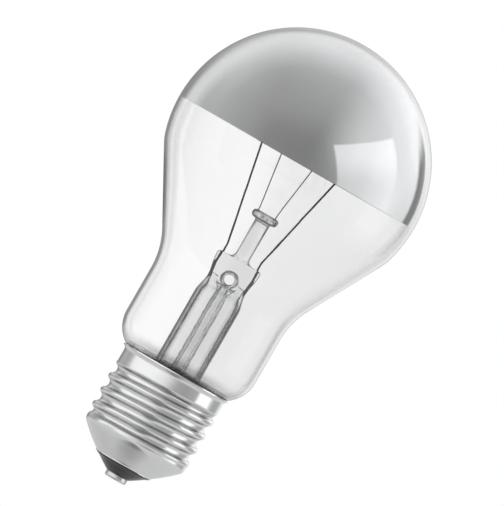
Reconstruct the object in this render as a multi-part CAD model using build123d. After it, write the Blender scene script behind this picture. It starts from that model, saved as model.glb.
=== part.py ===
# Silver crown bulb: a screw-cap filament lamp, its clear envelope mirrored inside its upper half.
# Millimetres. The axis is Z, from the centre contact's face at z = 0 up to the crown.
# The two leads and the two supports stand in the XZ plane, and the exhaust hole runs along Y.
import os
from math import acos, cos, degrees, pi, radians, sin, sqrt, tan

from build123d import *

# Centre contact, its solder and the insulator
contact_diameter = 5.4
contact_thickness = 1.3
contact_edge = 0.4
eyelet_diameter = 2.6
eyelet_height = 1.1
solder_diameter = 1.6
solder_recess = 0.1
insulator_ledge = 0.1
insulator_height = 2.6
insulator_fill = 2.9
lead_hole_diameter = 1.0

# Cap shell, from the lip round the insulator up to the flared rim
sheet = 0.3
lip_diameter = 14.3
lip_height = 0.1
lip_bend = 0.5
dome_angle = 40
dome_shoulder = 2.2
dome_step = 0.3
thread_diameter = 26.2
thread_depth = 1.12
thread_pitch = 3.629
thread_phase = 1.08
crest_share = 0.38
thread_height = 14.5
thread_runout = 1.8
thread_points = 32
quarter_sections = 4
collar_step = 0.25
collar_height = 2.35
rim_bend = 1.0
rim_angle = 75
cap_fit = 0.02

# Envelope and mirror, from the neck in the cap up to the crown
glass = 0.6
cap_neck_gap = 0.48
cap_neck_depth = 9.4
foot_bend = 2.0
rim_to_glass = 0.23
shoulder_bend = 8.0
neck_diameter = 33.6
neck_length = 11.05
neck_flare = 19.0
cone_angle = 28.6
globe_blend = 14.0
globe_dip = 16
globe_diameter = 61.2
mirror_thickness = 0.1
mirror_fit = 0.05

# Stem: flared tube and press
tube_diameter = 11.3
tube_wall = 0.8
tube_length = 19.5
flare_angle = 60
flare_rim = 1.45
pinch_length = 4.5
press_foot_width = 9.7
press_width = 11.2
press_thickness = 4.0
press_height = 6.3
press_corner = 0.7
press_squareness = 4
lobe_width = 8.0
lobe_thickness = 0.9
lobe_rise = 0.7
lobe_squareness = 3
ring_points = 24
exhaust_hole_diameter = 2.4
exhaust_hole_rise = 1.4
hole_lip_diameter = 4.2
hole_lip_height = 0.3
hole_lip_edge = 0.24

# Exhaust tube, fused into the press and drawn to a tip inside the cap
exhaust_tube_diameter = 3.3
exhaust_bore_diameter = 1.7
exhaust_seat = 1.5
exhaust_web = 0.65
exhaust_drop = 1.7
exhaust_tip_length = 3.0
exhaust_tip_wall = 2.1
tip_fullness = 0.6
tip_point = 0.3
bore_fullness = 0.9
bore_point = 0.4

# Arbor rod with its button
rod_diameter = 3.6
rod_length = 10.3
button_diameter = 6.4
button_height = 1.9
button_edge = 0.8

# Wires and filament
inner_lead_diameter = 0.45
seal_wire_diameter = 0.4
outer_lead_diameter = 0.32
support_diameter = 0.28
filament_diameter = 0.2
lead_spacing = 8.9
lead_seat = 1.1
lead_rise = 2.5
lead_bend = 1.5
hook_spacing = 19.9
hook_shift = 0.45
hook_rise = 29.7
hook_straight = 1.5
hook_turn = 205
hook_clearance = 0.02
coil_diameter = 1.1
coil_end_bend = 0.2
coil_leg = 1.3
support_foot_spacing = 4.4
support_seat = 1.0
support_spacing = 8.6
support_straight = 1.2
support_bend = 8.0
loop_turn = 270
loop_clearance = 0.03
seal_wire_step = 0.6
lobe_lead_spacing = 8.0
tube_lead_spacing = 9.1
tube_lead_step = 0.3
seal_wire_end_drop = 5.0
seal_wire_bend = 1.0
outer_lead_bend = 2.0
contact_lead_end = 0.5

# Solder on the cap's side, and the cement
side_solder_diameter = 2.4
side_solder_height = 0.5
side_hole_clearance = 0.15
side_hole_drop = 1.1
side_lead_bend = 0.45
side_lead_drop = 1.7
cement_inset = 0.2

# Heights and radii of the cap
lip_r = lip_diameter / 2
lip_z = contact_thickness + insulator_height
crest_r = thread_diameter / 2
root_r = crest_r - thread_depth
dome_r = crest_r - dome_step
collar_r = crest_r - collar_step
dome_turn = 90 - dome_angle
bend_z = lip_z + lip_height
cone_low_r = lip_r + lip_bend - lip_bend * cos(radians(dome_turn))
cone_low_z = bend_z + lip_bend * sin(radians(dome_turn))
cone_high_r = dome_r - dome_shoulder + dome_shoulder * cos(radians(dome_turn))
cone_high_z = cone_low_z + (cone_high_r - cone_low_r) * tan(radians(dome_angle))
thread_low_z = cone_high_z + dome_shoulder * sin(radians(dome_turn))
thread_high_z = thread_low_z + thread_height
collar_top_z = thread_high_z + collar_height
rim_inner_r = collar_r + rim_bend - (rim_bend + sheet) * cos(radians(rim_angle))
rim_z = collar_top_z + (rim_bend + sheet) * sin(radians(rim_angle))
fill_z = lip_z + insulator_fill

# Heights and radii of the envelope
cap_neck_r = root_r - sheet - cap_neck_gap
neck_r = neck_diameter / 2
globe_r = globe_diameter / 2
shoulder_r = neck_r - shoulder_bend
shoulder_turn = degrees(acos((cap_neck_r + foot_bend - shoulder_r) / (shoulder_bend + foot_bend)))
shoulder_z = rim_z + sqrt((shoulder_bend + rim_to_glass) ** 2 - (rim_inner_r - shoulder_r) ** 2)
foot_z = shoulder_z - (shoulder_bend + foot_bend) * sin(radians(shoulder_turn))
seal_z = rim_z - cap_neck_depth
neck_top_z = shoulder_z + neck_length
cone_low_end = neck_r + neck_flare * (1 - cos(radians(cone_angle)))
blend_r = (globe_r - globe_blend) * cos(radians(globe_dip))
cone_high_end = blend_r + globe_blend * cos(radians(cone_angle))
cone_z = neck_top_z + neck_flare * sin(radians(cone_angle))
cone_top_z = cone_z + (cone_high_end - cone_low_end) / tan(radians(cone_angle))
blend_z = cone_top_z + globe_blend * sin(radians(cone_angle))
equator_z = blend_z + (globe_r - globe_blend) * sin(radians(globe_dip))

# Heights and radii of the stem
tube_r = tube_diameter / 2
tube_bore_r = tube_r - tube_wall
neck_bore_r = cap_neck_r - glass
flare_bend = (neck_bore_r - flare_rim - tube_r) / (1 - cos(radians(flare_angle)))
flare_r = tube_r + flare_bend
flare_mouth = neck_bore_r - flare_r + (flare_bend + tube_wall) * cos(radians(flare_angle))
flare_mouth_z = seal_z + flare_mouth / tan(radians(flare_angle))
flare_z = flare_mouth_z + (flare_bend + tube_wall) * sin(radians(flare_angle))
pinch_z = flare_z + tube_length
press_z = pinch_z + pinch_length
press_top_z = press_z + press_height
lobe_z = press_z + lobe_rise
hole_z = press_z + exhaust_hole_rise
exhaust_tip_z = seal_z - exhaust_drop - exhaust_tip_length
button_z = press_top_z + rod_length
button_top_z = button_z + button_height

# Places of the wires
hook_r = (inner_lead_diameter + filament_diameter) / 2 + hook_clearance
leg_z = press_top_z + hook_rise
loop_r = (coil_diameter + support_diameter) / 2 + loop_clearance
wire_end_z = press_z - seal_wire_end_drop
side_lead_r = (cap_neck_r + root_r - sheet) / 2
side_hole_z = collar_top_z - side_hole_drop
side_hole_diameter = outer_lead_diameter + 2 * side_hole_clearance
LEFT, RIGHT = -1, 1


def turned(*edges):
    """A solid of revolution round Z, from edges drawn as (radius, height)."""
    return revolve(Plane.XZ * make_face(edges), Axis.Z)


def straight(start, end, diameter):
    """A straight stretch of round wire."""
    section = Plane(origin=start, z_dir=end - start) * Circle(diameter / 2)
    return extrude(section, (end - start).length)


def bend(start, direction, axis, turn, diameter):
    """A stretch of round wire bent round an axis."""
    section = Plane(origin=start, z_dir=direction) * Circle(diameter / 2)
    return revolve(section, axis, turn)


def bent_wire(corners, radius, diameter, *ends):
    """A round wire along straight runs, bent alike at every corner, and any further stretches."""
    corners = [Vector(*corner) for corner in corners]
    start = corners[0]
    stretches = []
    for before, corner, after in zip(corners, corners[1:], corners[2:]):
        way_in = (corner - before).normalized()
        way_out = (after - corner).normalized()
        normal = way_in.cross(way_out).normalized()
        turn = way_in.get_angle(way_out)
        reach = radius * tan(radians(turn / 2))
        bend_start = corner - way_in * reach
        axis = Axis(bend_start + normal.cross(way_in) * radius, normal)
        stretches.append(straight(start, bend_start, diameter))
        stretches.append(bend(bend_start, way_in, axis, turn, diameter))
        start = corner + way_out * reach
    stretches.append(straight(start, corners[-1], diameter))
    return Part() + stretches + list(ends)


def ease(share):
    """A smooth step from 0 to 1."""
    share = min(max(share, 0), 1)
    return share * share * (3 - 2 * share)


def mix(first, last, share):
    return first + (last - first) * share


# Cap shell

def thread_wave(turn, inset):
    """The thread's radius at a share of a pitch from a crest, inset into the sheet, in two arcs."""
    flank = 2 * acos(thread_pitch / sqrt(thread_pitch**2 + 4 * thread_depth**2))
    bends = thread_pitch / (2 * sin(flank))
    crest_bend = crest_share * bends
    root_bend = bends - crest_bend
    off_crest = abs((turn + 0.5) % 1 - 0.5) * thread_pitch
    if off_crest < (crest_bend - inset) * sin(flank):
        return crest_r - crest_bend + sqrt((crest_bend - inset) ** 2 - off_crest**2)
    return root_r + root_bend - sqrt((root_bend + inset) ** 2 - (thread_pitch / 2 - off_crest) ** 2)


def thread_radius(angle, z, inset):
    """The threaded shell's radius, with the thread run out into the dome and the collar."""
    radius = thread_wave((z - thread_low_z - thread_phase) / thread_pitch - angle / 360, inset)
    radius = mix(dome_r - inset, radius, ease((z - thread_low_z) / thread_runout))
    return mix(collar_r - inset, radius, ease((thread_high_z - z) / thread_runout))


def shell_line(angle, inset):
    """One side of the sheet, from the lip to the rim, at an angle round the axis."""
    shares = [step / thread_points for step in range(thread_points + 1)]
    heights = [mix(thread_low_z, thread_high_z, share) for share in shares]
    points = [(thread_radius(angle, z, inset), z) for z in heights]
    bend = lip_bend + inset
    shoulder = dome_shoulder - inset
    rim = rim_bend + inset
    curl = CenterArc((lip_r + lip_bend, bend_z), bend, 180, -dome_turn)
    brow = CenterArc((dome_r - dome_shoulder, thread_low_z), shoulder, -dome_turn, dome_turn)
    return [
        Line((lip_r - inset, lip_z), (lip_r - inset, bend_z)),
        curl,
        Line(curl @ 1, brow @ 0),
        brow,
        Edge.make_spline([Vector(r, z) for r, z in points], parameters=shares),
        Line((collar_r - inset, thread_high_z), (collar_r - inset, collar_top_z)),
        CenterArc((collar_r + rim_bend, collar_top_z), rim, 180, -rim_angle),
    ]


def shell_section(angle):
    """The sheet's closed outline at an angle round the axis."""
    outside = shell_line(angle, 0)
    inside = shell_line(angle, sheet)
    rim = Line(outside[-1] @ 1, inside[-1] @ 1)
    lip = Line(inside[0] @ 0, outside[0] @ 0)
    radial = Vector(cos(radians(angle)), sin(radians(angle)), 0)
    plane = Plane(origin=(0, 0, 0), x_dir=radial, z_dir=radial.cross(Vector(0, 0, 1)))
    return plane * Wire(outside + [rim] + inside[::-1] + [lip])


def cap_shell():
    """The rolled sheet cap: lofted quarters of its helical section, less the side lead's hole."""
    quarters = []
    for start in range(0, 360, 90):
        turns = [start + 90 * step / quarter_sections for step in range(quarter_sections + 1)]
        quarters.append(Solid.make_loft([shell_section(turn) for turn in turns]))
    shell = quarters[0].fuse(*quarters[1:])
    return shell - side_bore()


def side_bore():
    """The hole in the collar for the side lead."""
    outward = Plane(origin=(0, 0, side_hole_z), z_dir=(0, 1, 0))
    return extrude(outward * Circle(side_hole_diameter / 2), 2 * collar_r)


# Insulator, contact, solder and cement

def insulator():
    """The black glass that fills the cap's foot and carries the centre contact."""
    inset = sheet + cap_fit
    curl = CenterArc((lip_r + lip_bend, bend_z), lip_bend + inset, 180, -dome_turn)
    cone_low = curl @ 1
    fill_r = cone_low.X + (fill_z - cone_low.Y) / tan(radians(dome_angle))
    eyelet_r = eyelet_diameter / 2
    eyelet_z = contact_thickness + eyelet_height
    hole_r = lead_hole_diameter / 2
    outline = Polyline(
        (lip_r - inset, bend_z),
        (lip_r - inset, lip_z),
        (contact_diameter / 2 + insulator_ledge, contact_thickness),
        (eyelet_r, contact_thickness),
        (eyelet_r, eyelet_z),
        (hole_r, eyelet_z),
        (hole_r, fill_z),
        (fill_r, fill_z),
        cone_low,
    )
    return turned(curl, *outline.edges())


def centre_contact():
    """The contact plate with its rounded edge and the eyelet that holds it in the insulator."""
    contact_r = contact_diameter / 2
    solder_r = solder_diameter / 2
    eyelet_r = eyelet_diameter / 2
    eyelet_z = contact_thickness + eyelet_height
    edge = CenterArc((contact_r - contact_edge, contact_edge), contact_edge, -90, 90)
    outline = Polyline(
        edge @ 1,
        (contact_r, contact_thickness),
        (eyelet_r, contact_thickness),
        (eyelet_r, eyelet_z),
        (solder_r, eyelet_z),
        (solder_r, 0),
        edge @ 0,
    )
    return turned(edge, *outline.edges())


def contact_solder(lead):
    """The solder in the contact's eyelet, round the end of its lead."""
    depth = contact_thickness + eyelet_height - 2 * solder_recess
    plug = Pos(0, 0, solder_recess) * extrude(Circle(solder_diameter / 2), depth)
    return plug - lead


def side_solder(lead):
    """The solder that fills the collar's hole and stands as a bead on its outside."""
    bead_r = side_solder_diameter / 2
    ball_r = (bead_r**2 + side_solder_height**2) / (2 * side_solder_height)
    ball = Pos(0, collar_r + side_solder_height - ball_r, side_hole_z) * Sphere(ball_r)
    bead = ball - Pos(0, 0, side_hole_z) * Cylinder(collar_r + cap_fit, 2 * ball_r)
    bead = bead.solids().sort_by(Axis.Y)[-1]
    wall = Plane(origin=(0, collar_r - sheet, side_hole_z), z_dir=(0, 1, 0))
    plug = extrude(wall * Circle(side_hole_diameter / 2 - cap_fit), sheet + side_solder_height / 2)
    return bead + plug - lead


def basing_cement(neck, lead):
    """The cement ring between the envelope's neck and the collar."""
    low_z = thread_high_z + cement_inset
    ring = extrude(Circle(collar_r - sheet - cap_fit), collar_top_z - low_z)
    return Pos(0, 0, low_z) * ring - neck - lead


# Envelope and mirror

def envelope_line(inset):
    """The envelope's outline from the crown down to the seal, inset from its outer face."""
    globe = CenterArc((0, equator_z), globe_r - inset, 90, -90 - globe_dip)
    blend = CenterArc((blend_r, blend_z), globe_blend - inset, -globe_dip, globe_dip - cone_angle)
    waist_centre = (neck_r + neck_flare, neck_top_z)
    waist = CenterArc(waist_centre, neck_flare + inset, 180 - cone_angle, cone_angle)
    shoulder = CenterArc((shoulder_r, shoulder_z), shoulder_bend - inset, 0, -shoulder_turn)
    foot_centre = (cap_neck_r + foot_bend, foot_z)
    foot = CenterArc(foot_centre, foot_bend + inset, 180 - shoulder_turn, shoulder_turn)
    return [
        globe,
        blend,
        Line(blend @ 1, waist @ 0),
        waist,
        Line(waist @ 1, shoulder @ 0),
        shoulder,
        foot,
        Line(foot @ 1, (cap_neck_r - inset, seal_z)),
    ]


def glass_envelope():
    """The blown glass, open at the neck, where the stem is sealed in."""
    outside = envelope_line(0)
    inside = envelope_line(glass)
    crown = Line(outside[0] @ 0, inside[0] @ 0)
    seal = Line(outside[-1] @ 1, inside[-1] @ 1)
    return turned(*outside, seal, *inside, crown)


def filled_envelope():
    """The envelope as one solid body, to shape the cement round its neck."""
    outside = envelope_line(0)
    seal = Line(outside[-1] @ 1, (0, seal_z))
    axis = Line((0, seal_z), outside[0] @ 0)
    return turned(*outside, seal, axis)


def crown_mirror():
    """The metal layer inside the upper half of the globe, drawn thicker than the real one."""
    outer_r = globe_r - glass - mirror_fit
    inner_r = outer_r - mirror_thickness
    outside = CenterArc((0, equator_z), outer_r, 0, 90)
    inside = CenterArc((0, equator_z), inner_r, 0, 90)
    return turned(outside, Line(outside @ 1, inside @ 1), inside, Line(inside @ 0, outside @ 0))


# Stem

def flat_ring(half_width, half_thickness, squareness, z):
    """A closed curve between an ellipse, at squareness 2, and a rounded rectangle."""
    points = []
    for step in range(ring_points):
        angle = 2 * pi * step / ring_points
        c = cos(angle)
        s = sin(angle)
        reach = (abs(c) ** squareness + abs(s) ** squareness) ** (-1 / squareness)
        points.append(Vector(half_width * reach * c, half_thickness * reach * s, z))
    shares = [step / ring_points for step in range(ring_points + 1)]
    return Wire([Edge.make_spline(points, periodic=True, parameters=shares)])


def round_ring(radius, z):
    return Wire([Edge.make_circle(radius, Plane.XY.offset(z))])


def pinched_tube():
    """The tube's upper end, pinched flat and closed as the press, with rounded top corners."""
    rings = [round_ring(tube_r, pinch_z)]
    for share in (0.2, 0.4, 0.6, 0.8, 1):
        eased = ease(share)
        half_width = mix(tube_r, press_foot_width / 2, eased)
        half_thickness = mix(tube_r, press_thickness / 2, eased)
        z = mix(pinch_z, press_z, share)
        rings.append(flat_ring(half_width, half_thickness, mix(2, press_squareness, eased), z))
    straight_z = press_top_z - press_corner
    for share in (0.5, 1):
        half_width = mix(press_foot_width, press_width, ease(share)) / 2
        z = mix(press_z, straight_z, share)
        rings.append(flat_ring(half_width, press_thickness / 2, press_squareness, z))
    for share in (0.6, 1):
        half_width = press_width / 2 - press_corner * (1 - sqrt(1 - share**2))
        z = mix(straight_z, press_top_z, share)
        rings.append(flat_ring(half_width, press_thickness / 2, press_squareness, z))
    return Solid.make_loft(rings)


def pinched_bore():
    """The tube's bore where it narrows to the two lobes beside the exhaust tube."""
    rings = [round_ring(tube_bore_r, pinch_z)]
    for share in (0.25, 0.5, 0.75, 1):
        eased = ease(share)
        half_width = mix(tube_bore_r, lobe_width / 2, eased)
        half_thickness = mix(tube_bore_r, lobe_thickness / 2, eased)
        z = mix(pinch_z, lobe_z, share)
        rings.append(flat_ring(half_width, half_thickness, mix(2, lobe_squareness, eased), z))
    web_r = exhaust_tube_diameter / 2 + exhaust_web
    web_z = press_z - exhaust_seat
    web = Pos(0, 0, web_z) * extrude(Circle(web_r), lobe_z - web_z + 1)
    return Solid.make_loft(rings) - web


def flared_tube():
    """The straight tube and the flare that is sealed to the envelope's neck."""
    outer = CenterArc((flare_r, flare_z), flare_bend, 180, flare_angle)
    inner = CenterArc((flare_r, flare_z), flare_bend + tube_wall, 180, flare_angle)
    outer_low = outer @ 1
    rim_z = outer_low.Y - (neck_bore_r - outer_low.X) / tan(radians(flare_angle))
    return turned(
        Line((tube_r, pinch_z), outer @ 0),
        outer,
        Line(outer_low, (neck_bore_r, rim_z)),
        Line((neck_bore_r, rim_z), (neck_bore_r, seal_z)),
        Line((neck_bore_r, seal_z), inner @ 1),
        inner,
        Line(inner @ 0, (tube_bore_r, pinch_z)),
        Line((tube_bore_r, pinch_z), (tube_r, pinch_z)),
    )


def hole_lip():
    """The raised ring round the exhaust hole, on both faces of the press."""
    length = press_thickness + 2 * hole_lip_height
    ring = Rot(90, 0, 0) * Cylinder(hole_lip_diameter / 2, length)
    rounded = fillet(ring.edges().filter_by(GeomType.CIRCLE), hole_lip_edge)
    return Pos(0, 0, hole_z) * rounded


def stem_flare(wires):
    """The stem's glass: flare, tube and press, less its bores and the wires sealed in it."""
    seat_z = press_z - exhaust_seat
    seat = Pos(0, 0, seat_z) * extrude(Circle(exhaust_tube_diameter / 2), exhaust_seat)
    duct = Pos(0, 0, press_z) * extrude(Circle(exhaust_bore_diameter / 2), exhaust_hole_rise)
    across = Pos(0, 0, hole_z) * Rot(90, 0, 0)
    hole = across * Cylinder(exhaust_hole_diameter / 2, 2 * press_thickness)
    body = flared_tube() + (pinched_tube() + hole_lip() - pinched_bore())
    body = body - seat - duct - hole
    for wire in wires:
        body = body - wire
    return body


def exhaust_tube():
    """The tube through which the lamp was pumped, drawn to a closed tip."""
    outer_r = exhaust_tube_diameter / 2
    bore_r = exhaust_bore_diameter / 2
    neck_z = exhaust_tip_z + exhaust_tip_length
    bore_tip_z = exhaust_tip_z + exhaust_tip_wall
    taper = Bezier(
        (outer_r, neck_z),
        (outer_r, mix(neck_z, exhaust_tip_z, tip_fullness)),
        (tip_point * outer_r, exhaust_tip_z),
        (0, exhaust_tip_z),
    )
    bore_end = Bezier(
        (bore_r, neck_z),
        (bore_r, mix(neck_z, bore_tip_z, bore_fullness)),
        (bore_point * bore_r, bore_tip_z),
        (0, bore_tip_z),
    )
    return turned(
        Line((outer_r, press_z), (outer_r, neck_z)),
        taper,
        Line((0, exhaust_tip_z), (0, bore_tip_z)),
        bore_end,
        Line((bore_r, neck_z), (bore_r, press_z)),
        Line((bore_r, press_z), (outer_r, press_z)),
    )


def arbor_rod(supports):
    """The glass rod on the press, with the button that holds the filament's supports."""
    rod_r = rod_diameter / 2
    button_r = button_diameter / 2
    low = CenterArc((button_r - button_edge, button_z + button_edge), button_edge, -90, 90)
    high = CenterArc((button_r - button_edge, button_top_z - button_edge), button_edge, 0, 90)
    rod = turned(
        Line((0, press_top_z), (rod_r, press_top_z)),
        Line((rod_r, press_top_z), (rod_r, button_z)),
        Line((rod_r, button_z), low @ 0),
        low,
        Line(low @ 1, high @ 0),
        high,
        Line(high @ 1, (0, button_top_z)),
        Line((0, button_top_z), (0, press_top_z)),
    )
    for support in supports:
        rod = rod - support
    return rod


# Wires and filament

def inner_lead(side):
    """The lead from the press to the filament, hooked over the filament's leg."""
    foot_x = side * lead_spacing / 2
    top_x = side * hook_spacing / 2 + hook_shift
    corners = [
        (foot_x, 0, press_top_z - lead_seat),
        (foot_x, 0, press_top_z + lead_rise),
        (top_x, 0, leg_z - hook_straight),
        (top_x, 0, leg_z),
    ]
    axis = Axis((top_x, hook_r, leg_z), (-1, 0, 0))
    hook = bend(corners[-1], (0, 0, 1), axis, hook_turn, inner_lead_diameter)
    return bent_wire(corners, lead_bend, inner_lead_diameter, hook)


def seal_wire(side):
    """The wire sealed in the press, from the inner lead down to the wall of the tube."""
    lead_x = side * lead_spacing / 2
    lobe_x = side * lobe_lead_spacing / 2
    tube_x = side * tube_lead_spacing / 2
    corners = [
        (lead_x, 0, press_top_z - lead_seat),
        (lead_x, 0, mix(lobe_z, press_top_z, seal_wire_step)),
        (lobe_x, 0, lobe_z),
        (tube_x, 0, mix(pinch_z, lobe_z, tube_lead_step)),
        (tube_x, 0, wire_end_z),
    ]
    return bent_wire(corners, seal_wire_bend, seal_wire_diameter)


def centre_lead():
    """The lead from the right seal wire past the exhaust tip to the centre contact."""
    tube_x = RIGHT * tube_lead_spacing / 2
    corners = [
        (tube_x, 0, wire_end_z),
        (tube_x, 0, seal_z),
        (0, 0, fill_z + outer_lead_bend),
        (0, 0, contact_lead_end),
    ]
    return bent_wire(corners, outer_lead_bend, outer_lead_diameter)


def side_lead():
    """The lead from the left seal wire, under the seal, up beside the neck, out by the collar."""
    tube_x = LEFT * tube_lead_spacing / 2
    corners = [
        (tube_x, 0, wire_end_z),
        (tube_x, 0, seal_z - side_lead_drop),
        (0, side_lead_r, seal_z - side_lead_drop),
        (0, side_lead_r, side_hole_z),
        (0, collar_r + side_solder_height / 2, side_hole_z),
    ]
    return bent_wire(corners, side_lead_bend, outer_lead_diameter)


def support_wire(side):
    """The thin wire from the button to the filament, with a loop round the coil."""
    foot_x = side * support_foot_spacing / 2
    top_x = side * support_spacing / 2
    y = hook_r - loop_r
    corners = [
        (foot_x, y, button_top_z - support_seat),
        (foot_x, y, button_top_z + support_straight),
        (top_x, y, leg_z - support_straight),
        (top_x, y, leg_z),
    ]
    axis = Axis((top_x, hook_r, leg_z), (-1, 0, 0))
    loop = bend(corners[-1], (0, 0, 1), axis, loop_turn, support_diameter)
    return bent_wire(corners, support_bend, support_diameter, loop)


def filament():
    """The coil between the hooks, as one rod of its outer size, with a straight leg at each end."""
    leg_r = filament_diameter / 2
    outer_r = coil_diameter / 2
    half_coil = hook_spacing / 2 - coil_leg
    half_length = hook_spacing / 2 + inner_lead_diameter
    near = CenterArc((half_coil - coil_end_bend, outer_r - coil_end_bend), coil_end_bend, 0, 90)
    far = CenterArc((coil_end_bend - half_coil, outer_r - coil_end_bend), coil_end_bend, 90, 90)
    outline = Polyline(
        far @ 1,
        (-half_coil, leg_r),
        (-half_length, leg_r),
        (-half_length, 0),
        (half_length, 0),
        (half_length, leg_r),
        (half_coil, leg_r),
        near @ 0,
    )
    face = make_face([near, Line(near @ 1, far @ 0), far, *outline.edges()])
    return Pos(hook_shift, hook_r, leg_z) * revolve(Plane.XZ * face, Axis.X)


neck_and_globe = filled_envelope()
lead_to_side = side_lead()
lead_to_centre = centre_lead()
inner_leads = {side: inner_lead(side) for side in (LEFT, RIGHT)}
seal_wires = {side: seal_wire(side) for side in (LEFT, RIGHT)}
supports = {side: support_wire(side) for side in (LEFT, RIGHT)}

nodes = {
    "glass_envelope": glass_envelope(),
    "crown_mirror": crown_mirror(),
    "stem_flare": stem_flare([*inner_leads.values(), *seal_wires.values()]),
    "exhaust_tube": exhaust_tube(),
    "arbor_rod": arbor_rod(supports.values()),
    "support_wire_left": supports[LEFT],
    "support_wire_right": supports[RIGHT],
    "filament": filament(),
    "inner_lead_left": inner_leads[LEFT],
    "inner_lead_right": inner_leads[RIGHT],
    "seal_wire_left": seal_wires[LEFT],
    "seal_wire_right": seal_wires[RIGHT],
    "outer_lead_side": lead_to_side,
    "outer_lead_centre": lead_to_centre,
    "cap_shell": cap_shell(),
    "insulator": insulator(),
    "centre_contact": centre_contact(),
    "contact_solder": contact_solder(lead_to_centre),
    "side_solder": side_solder(lead_to_side),
    "basing_cement": basing_cement(neck_and_globe, lead_to_side),
}

os.makedirs("parts", exist_ok=True)
for name, shape in nodes.items():
    export_step(shape, f"parts/{name}.step")
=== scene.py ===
# Looks of the silver crown bulb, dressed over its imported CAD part.
# Shapes are in millimetres and degrees, in the part's own frame: z = 0 at the centre contact, crown up.
# Positions inside materials and of the light are in metres, as Blender has them.
import math

import bmesh
import bpy
from mathutils import Matrix, Vector


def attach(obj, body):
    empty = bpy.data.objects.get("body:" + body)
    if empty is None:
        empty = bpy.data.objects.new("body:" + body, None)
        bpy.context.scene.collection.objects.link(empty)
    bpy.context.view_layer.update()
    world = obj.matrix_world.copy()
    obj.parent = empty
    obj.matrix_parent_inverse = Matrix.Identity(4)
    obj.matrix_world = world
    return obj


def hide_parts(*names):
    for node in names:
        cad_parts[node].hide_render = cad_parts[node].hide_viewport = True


MM = 0.001
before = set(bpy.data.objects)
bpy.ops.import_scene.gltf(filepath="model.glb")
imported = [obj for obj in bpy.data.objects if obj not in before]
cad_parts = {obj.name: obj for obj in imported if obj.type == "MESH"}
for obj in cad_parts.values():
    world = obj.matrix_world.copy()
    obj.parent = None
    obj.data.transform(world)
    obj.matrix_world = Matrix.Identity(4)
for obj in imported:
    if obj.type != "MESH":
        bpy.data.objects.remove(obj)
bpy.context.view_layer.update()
scene = bpy.context.scene

# Cap
LIP_R, LIP_Z, LIP_HEIGHT, LIP_BEND = 7.15, 3.9, 0.1, 0.5
DOME_R, DOME_SHOULDER, DOME_TURN, DOME_FULLNESS = 12.8, 2.2, 50, 0.12
THREAD_LOW, THREAD_HIGH, RUNOUT = 10.0, 24.5, 1.8
CREST_R, ROOT_R, THREAD_DEPTH, PITCH, PHASE, CREST_SHARE = 13.1, 11.98, 1.12, 3.629, 1.08, 0.38
COLLAR_R, COLLAR_TOP, RIM_BEND, RIM_ANGLE, SHEET = 12.85, 26.85, 1.0, 75, 0.3
BEAD_R, BEAD_Z = 1.2, 25.75
# Envelope and mirror
GLASS, GLOBE_R, EQUATOR, GLOBE_DIP = 0.6, 30.6, 82.99, 16
BLEND, BLEND_R, BLEND_Z = 14.0, 15.957, 78.41
WAIST, NECK_R, NECK_TOP, CONE = 19.0, 16.8, 45.9, 28.6
SHOULDER, SHOULDER_R, SHOULDER_Z = 8.0, 8.8, 34.85
FOOT, CAP_NECK_R, FOOT_Z, FOOT_TURN, SEAL_Z = 2.0, 11.2, 25.87, 63.9, 18.7
MIRROR_GAP, MIRROR = 0.05, 0.1
# Stem
TUBE_R, BORE_R, TUBE_WALL, SEAL_GAP, SEAL_TOP = 5.65, 4.85, 0.8, 0.02, 20.1
FLARE_R, FLARE_Z, FLARE_BEND, FLARE_TURN = 12.65, 27.0, 7.0, 60
PINCH_Z, PRESS_Z, PRESS_TOP = 46.5, 51.0, 57.3
PRESS_FOOT_R, PRESS_R, PRESS_DEPTH, PRESS_EDGE, PRESS_SQUARENESS = 4.85, 5.6, 2.0, 0.7, 4
LOBE_Z, LOBE_R, LOBE_DEPTH, LOBE_SQUARENESS = 51.7, 4.0, 0.45, 3
EXHAUST_R, EXHAUST_BORE_R = 1.65, 0.85
HOLE_Z, HOLE_R, HOLE_BEAD_R = 52.4, 1.2, 1.75
ROD_R, BUTTON_R, BUTTON_BEND, BUTTON_Z, BUTTON_TOP = 1.8, 2.4, 0.8, 67.6, 69.5
# Filament
COIL_X, COIL_Y, COIL_Z = 0.45, 0.345, 87.0
WIRE_R, COIL_R, COIL_TURNS, COIL_REACH, COIL_END, LEG, LEG_BEND = 0.09, 0.455, 33, 8.55, 10.35, 0.8, 0.35
# Studio
FLOOR_Z = -30
VIEW_X, VIEW_Z, EYE_Z, EYE_DISTANCE, LENS = 1.44, 60.1, 72, 4000, 1255.4
LEAN, LEAN_COS, LEAN_SIN = 29.85, 0.8673, 0.4977


# Shapes

def arc(x, z, radius, start, turn, steps):
    """Points on an arc, as (radius, height)."""
    angles = [math.radians(start + turn * i / steps) for i in range(steps + 1)]
    return [(x + radius * math.cos(a), z + radius * math.sin(a)) for a in angles]


def mix(first, last, share):
    return first + (last - first) * share


def ease(share):
    share = min(max(share, 0), 1)
    return share * share * (3 - 2 * share)


def ring(radius, z, steps):
    """A round ring of points, or the one point on the axis."""
    if radius < 1e-6:
        return [(0, 0, z)]
    angles = [2 * math.pi * i / steps for i in range(steps)]
    return [(radius * math.cos(a), radius * math.sin(a), z) for a in angles]


def flat_ring(half_width, half_thickness, squareness, z, steps):
    """A ring between an ellipse, at squareness 2, and a rounded rectangle."""
    points = []
    for i in range(steps):
        c = math.cos(2 * math.pi * i / steps)
        s = math.sin(2 * math.pi * i / steps)
        reach = (abs(c) ** squareness + abs(s) ** squareness) ** (-1 / squareness)
        points.append((half_width * reach * c, half_thickness * reach * s, z))
    return points


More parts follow.
